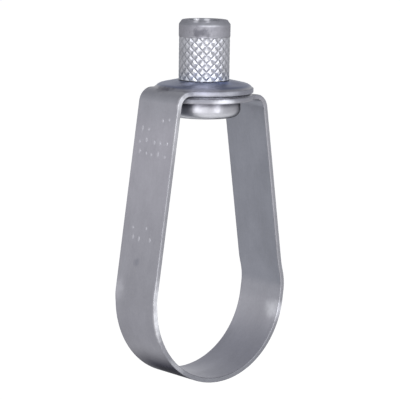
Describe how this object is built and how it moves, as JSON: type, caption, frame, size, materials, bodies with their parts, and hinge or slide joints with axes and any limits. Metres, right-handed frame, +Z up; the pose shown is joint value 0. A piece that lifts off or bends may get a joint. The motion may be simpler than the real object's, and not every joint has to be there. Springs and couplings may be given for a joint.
{
  "type": "swivel ring hanger",
  "caption": "Folded steel strip ring that cradles a pipe and turns freely on a knurled, threaded nut held in its two overlapping eyes.",
  "frame": {"origin": "on the axis of the pipe that the ring holds, in the middle of the strip's width", "axes": "+Z up to the hanging rod, +Y along the pipe, +X across the legs"},
  "size_m": [0.0533, 0.0306, 0.1122],
  "materials": {
    "strip": "galvanised, dull satin",
    "nut": "zinc plated, bright satin"
  },
  "bodies": {
    "nut": {"swivel_nut": "nut"},
    "ring": {"ring_band": "strip"}
  },
  "joints": [
    {"name": "ring_swivel", "type": "hinge", "parent": "nut", "child": "ring", "pos_m": [0, 0, 0.0652], "axis": [0, 0, 1], "continuous": true}
  ]
}
